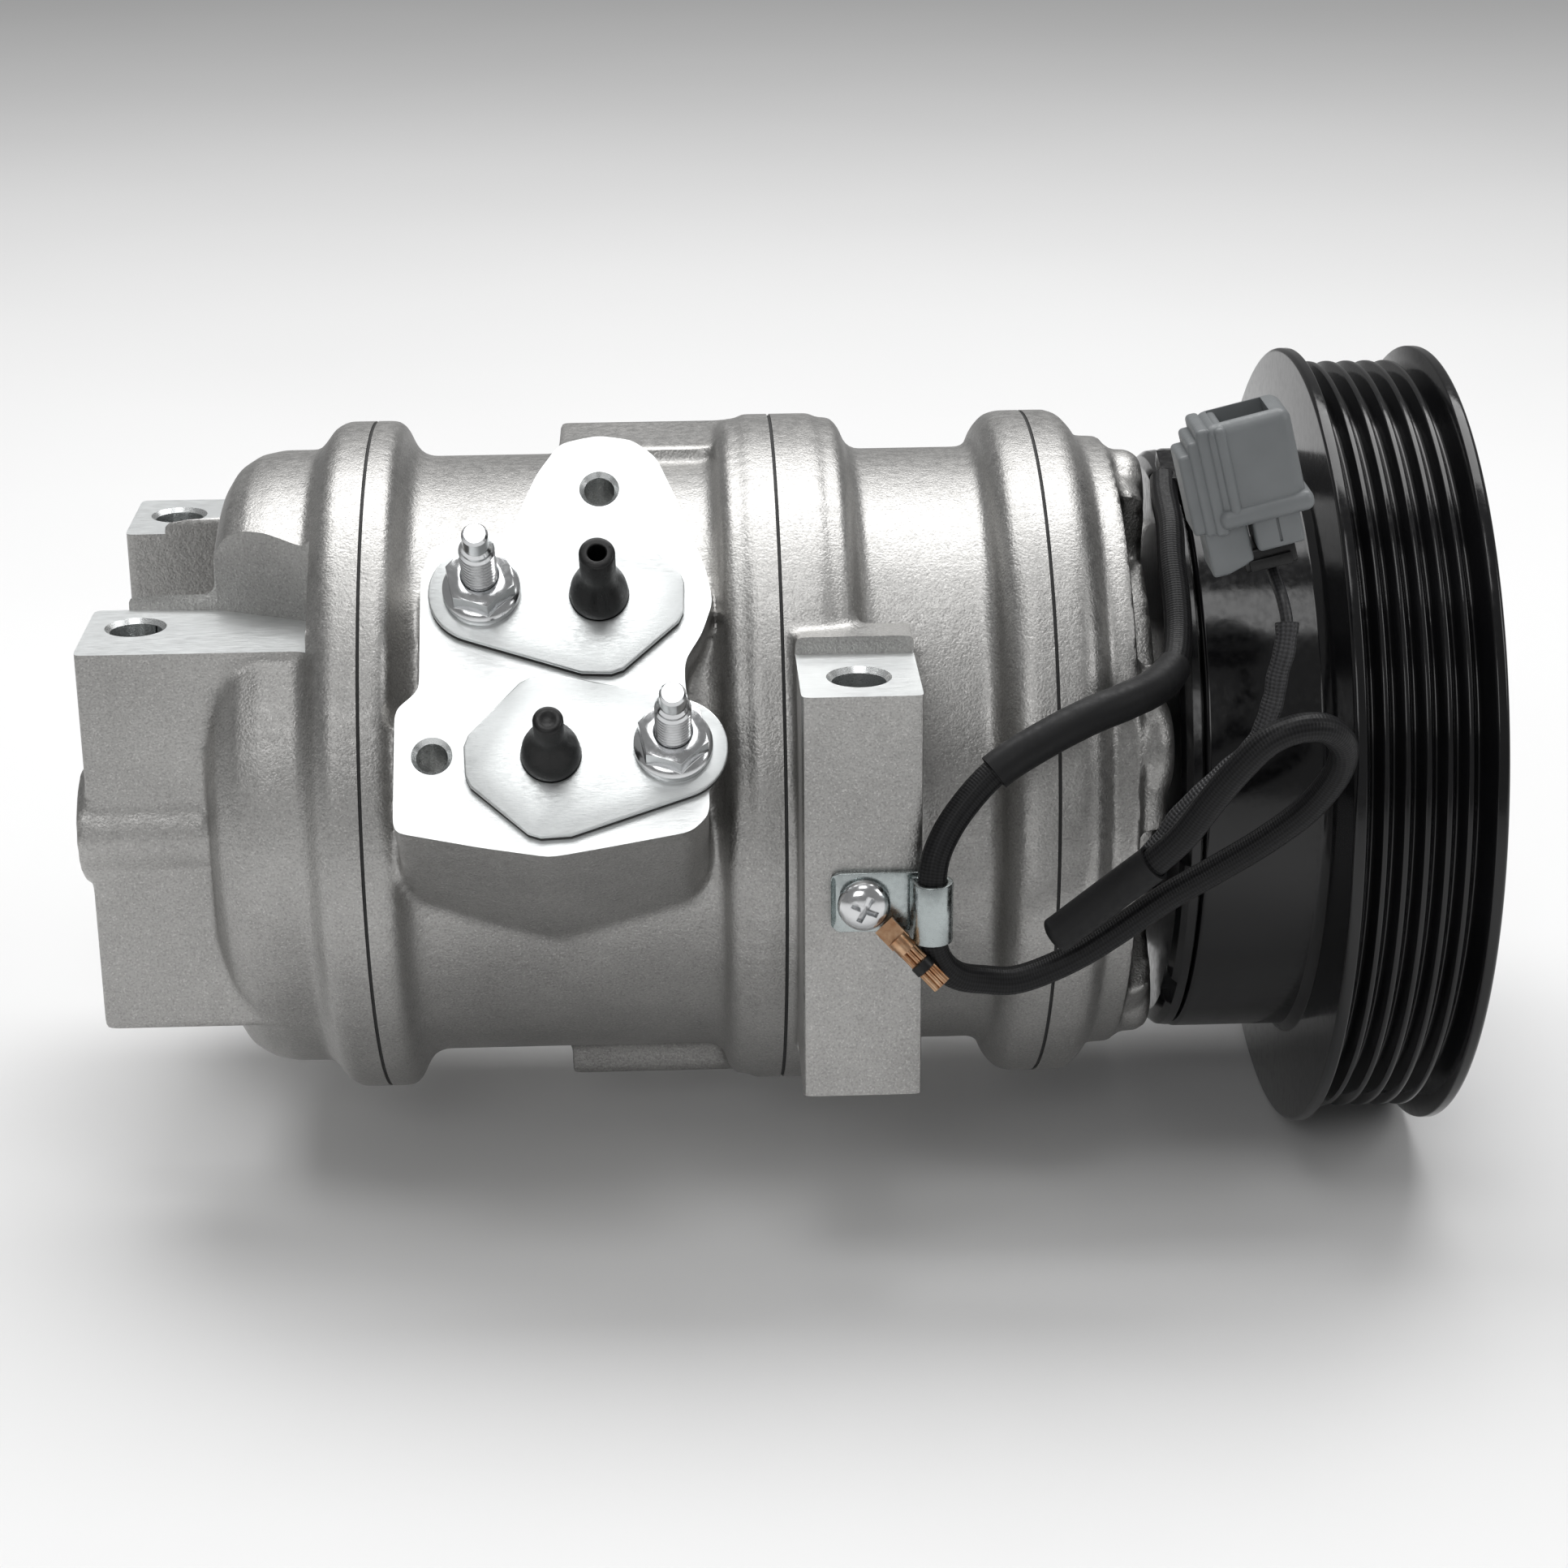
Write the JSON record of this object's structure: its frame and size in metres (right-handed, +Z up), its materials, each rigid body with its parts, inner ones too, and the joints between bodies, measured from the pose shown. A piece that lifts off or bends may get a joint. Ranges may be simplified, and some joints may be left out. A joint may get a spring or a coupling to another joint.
{
  "type": "swash-plate air conditioning compressor with electromagnetic clutch",
  "caption": "Swash-plate refrigerant compressor in a cast body with bolt bosses and capped hose ports, driven by an electromagnetic clutch in its ribbed belt pulley; lead with connector.",
  "frame": {"origin": "on the shaft axis, at the middle of the belt grooves", "axes": "+X along the shaft towards the pulley and hub end, +Z up along the three mounting bolt holes, +Y away from the port side"},
  "size_m": [0.253, 0.1623, 0.1522],
  "materials": {
    "cast_aluminium": "as cast, fine grain, with machined faces",
    "piston_aluminium": "turned",
    "bright_steel": "ground",
    "plain_steel": "phosphated",
    "zinc_plated_steel": "bright zinc plate",
    "black_enamel": "gloss",
    "copper": "enamelled wire and bare strands",
    "bronze": "turned",
    "gasket_rubber": "matt",
    "black_rubber": "satin",
    "braided_sleeve": "fine braid",
    "grey_plastic": "moulded"
  },
  "bodies": {
    "housing": {"rear_cover": "cast_aluminium", "front_cover": "cast_aluminium", "rear_cylinder_block": "cast_aluminium", "front_cylinder_block": "cast_aluminium", "gaskets": "gasket_rubber", "valve_plates": "bright_steel", "suction_reeds": "bright_steel", "discharge_reeds": "bright_steel", "through_bolts": "plain_steel", "port_cap_upper": "zinc_plated_steel", "port_cap_lower": "zinc_plated_steel", "port_plug_upper": "black_rubber", "port_plug_lower": "black_rubber", "port_studs": "zinc_plated_steel", "port_nuts": "zinc_plated_steel", "coil_shell": "black_enamel", "coil_winding": "copper", "snap_rings": "bright_steel", "bearing_inner_race": "bright_steel", "shaft_seal": "gasket_rubber", "shaft_bearings": "bright_steel", "thrust_bearings": "bright_steel", "cable_clamp": "zinc_plated_steel", "clamp_screw": "zinc_plated_steel", "ground_terminal": "copper", "lead_wire": "black_rubber", "lead_sleeve": "black_rubber", "splice_sleeve": "black_rubber", "connector_wire": "black_rubber", "wire_sleeve": "braided_sleeve", "connector_housing": "grey_plastic", "connector_clip": "black_rubber"},
    "pulley": {"pulley_rotor": "black_enamel", "bearing_outer_race": "bright_steel", "bearing_seals": "gasket_rubber"},
    "ball_set": {"bearing_balls": "bright_steel"},
    "shaft": {"drive_shaft": "bright_steel", "swash_hub": "plain_steel", "clutch_hub": "plain_steel", "clutch_bolt": "zinc_plated_steel"},
    "armature": {"armature_plate": "plain_steel", "leaf_springs": "bright_steel"},
    "swash": {"swash_plate": "bronze"},
    "shoe_front_1": {"shoe_front_1": "bronze"},
    "shoe_rear_1": {"shoe_rear_1": "bronze"},
    "piston_1": {"piston_1": "piston_aluminium"},
    "shoe_front_2": {"shoe_front_2": "bronze"},
    "shoe_rear_2": {"shoe_rear_2": "bronze"},
    "piston_2": {"piston_2": "piston_aluminium"},
    "shoe_front_3": {"shoe_front_3": "bronze"},
    "shoe_rear_3": {"shoe_rear_3": "bronze"},
    "piston_3": {"piston_3": "piston_aluminium"},
    "shoe_front_4": {"shoe_front_4": "bronze"},
    "shoe_rear_4": {"shoe_rear_4": "bronze"},
    "piston_4": {"piston_4": "piston_aluminium"},
    "shoe_front_5": {"shoe_front_5": "bronze"},
    "shoe_rear_5": {"shoe_rear_5": "bronze"},
    "piston_5": {"piston_5": "piston_aluminium"}
  },
  "joints": [
    {"name": "pulley_spin", "type": "hinge", "parent": "housing", "child": "pulley", "pos_m": [0, 0, 0], "axis": [1, 0, 0], "continuous": true},
    {"name": "ball_set_spin", "type": "hinge", "parent": "housing", "child": "ball_set", "pos_m": [-0.005, 0, 0], "axis": [1, 0, 0], "continuous": true},
    {"name": "shaft_spin", "type": "hinge", "parent": "housing", "child": "shaft", "pos_m": [-0.06, 0, 0], "axis": [1, 0, 0], "continuous": true},
    {"name": "armature_pull", "type": "slide", "parent": "shaft", "child": "armature", "axis": [-1, 0, 0], "range_m": [0, 0.0005], "stiffness_N_per_m": 20000},
    {"name": "swash_plate_turn", "type": "hinge", "parent": "shaft", "child": "swash", "pos_m": [-0.119, 0, 0], "axis": [0.9511, 0, 0.309], "continuous": true},
    {"name": "shoe_front_1_turn", "type": "hinge", "parent": "swash", "child": "shoe_front_1", "pos_m": [-0.12785, -0.0208, 0.02723], "axis": [0.9511, 0, 0.309], "continuous": true},
    {"name": "shoe_rear_1_turn", "type": "hinge", "parent": "shoe_front_1", "child": "shoe_rear_1", "pos_m": [-0.12807, -0.02028, 0.02791], "axis": [0.9511, 0, 0.309], "continuous": true},
    {"name": "piston_1_stroke", "type": "hinge", "parent": "shoe_rear_1", "child": "piston_1", "pos_m": [-0.12807, -0.02028, 0.02791], "axis": [1, 0, 0], "continuous": true},
    {"name": "shoe_front_2_turn", "type": "hinge", "parent": "swash", "child": "shoe_front_2", "pos_m": [-0.11562, -0.03366, -0.0104], "axis": [0.9511, 0, 0.309], "continuous": true},
    {"name": "shoe_rear_2_turn", "type": "hinge", "parent": "shoe_front_2", "child": "shoe_rear_2", "pos_m": [-0.11554, -0.03281, -0.01066], "axis": [0.9511, 0, 0.309], "continuous": true},
    {"name": "piston_2_stroke", "type": "hinge", "parent": "shoe_rear_2", "child": "piston_2", "pos_m": [-0.11554, -0.03281, -0.01066], "axis": [1, 0, 0], "continuous": true},
    {"name": "shoe_front_3_turn", "type": "hinge", "parent": "swash", "child": "shoe_front_3", "pos_m": [-0.10806, 0, -0.03366], "axis": [0.9511, 0, 0.309], "continuous": true},
    {"name": "shoe_rear_3_turn", "type": "hinge", "parent": "shoe_front_3", "child": "shoe_rear_3", "pos_m": [-0.10779, 0, -0.0345], "axis": [0.9511, 0, 0.309], "continuous": true},
    {"name": "piston_3_stroke", "type": "hinge", "parent": "shoe_rear_3", "child": "piston_3", "pos_m": [-0.10779, 0, -0.0345], "axis": [1, 0, 0], "continuous": true},
    {"name": "shoe_front_4_turn", "type": "hinge", "parent": "swash", "child": "shoe_front_4", "pos_m": [-0.11562, 0.03366, -0.0104], "axis": [0.9511, 0, 0.309], "continuous": true},
    {"name": "shoe_rear_4_turn", "type": "hinge", "parent": "shoe_front_4", "child": "shoe_rear_4", "pos_m": [-0.11554, 0.03281, -0.01066], "axis": [0.9511, 0, 0.309], "continuous": true},
    {"name": "piston_4_stroke", "type": "hinge", "parent": "shoe_rear_4", "child": "piston_4", "pos_m": [-0.11554, 0.03281, -0.01066], "axis": [1, 0, 0], "continuous": true},
    {"name": "shoe_front_5_turn", "type": "hinge", "parent": "swash", "child": "shoe_front_5", "pos_m": [-0.12785, 0.0208, 0.02723], "axis": [0.9511, 0, 0.309], "continuous": true},
    {"name": "shoe_rear_5_turn", "type": "hinge", "parent": "shoe_front_5", "child": "shoe_rear_5", "pos_m": [-0.12807, 0.02028, 0.02791], "axis": [0.9511, 0, 0.309], "continuous": true},
    {"name": "piston_5_stroke", "type": "hinge", "parent": "shoe_rear_5", "child": "piston_5", "pos_m": [-0.12807, 0.02028, 0.02791], "axis": [1, 0, 0], "continuous": true}
  ],
  "couplings": [
    {"joint": "ball_set_spin", "follows": "pulley_spin", "ratio": 0.5644},
    {"joint": "swash_plate_turn", "follows": "shaft_spin", "ratio": -1},
    {"joint": "shoe_front_1_turn", "follows": "shaft_spin", "ratio": 2},
    {"joint": "shoe_rear_1_turn", "follows": "shaft_spin", "ratio": -1},
    {"joint": "piston_1_stroke", "follows": "shaft_spin", "ratio": -1},
    {"joint": "shoe_front_2_turn", "follows": "shaft_spin", "ratio": 2},
    {"joint": "shoe_rear_2_turn", "follows": "shaft_spin", "ratio": -1},
    {"joint": "piston_2_stroke", "follows": "shaft_spin", "ratio": -1},
    {"joint": "shoe_front_3_turn", "follows": "shaft_spin", "ratio": 2},
    {"joint": "shoe_rear_3_turn", "follows": "shaft_spin", "ratio": -1},
    {"joint": "piston_3_stroke", "follows": "shaft_spin", "ratio": -1},
    {"joint": "shoe_front_4_turn", "follows": "shaft_spin", "ratio": 2},
    {"joint": "shoe_rear_4_turn", "follows": "shaft_spin", "ratio": -1},
    {"joint": "piston_4_stroke", "follows": "shaft_spin", "ratio": -1},
    {"joint": "shoe_front_5_turn", "follows": "shaft_spin", "ratio": 2},
    {"joint": "shoe_rear_5_turn", "follows": "shaft_spin", "ratio": -1},
    {"joint": "piston_5_stroke", "follows": "shaft_spin", "ratio": -1}
  ]
}
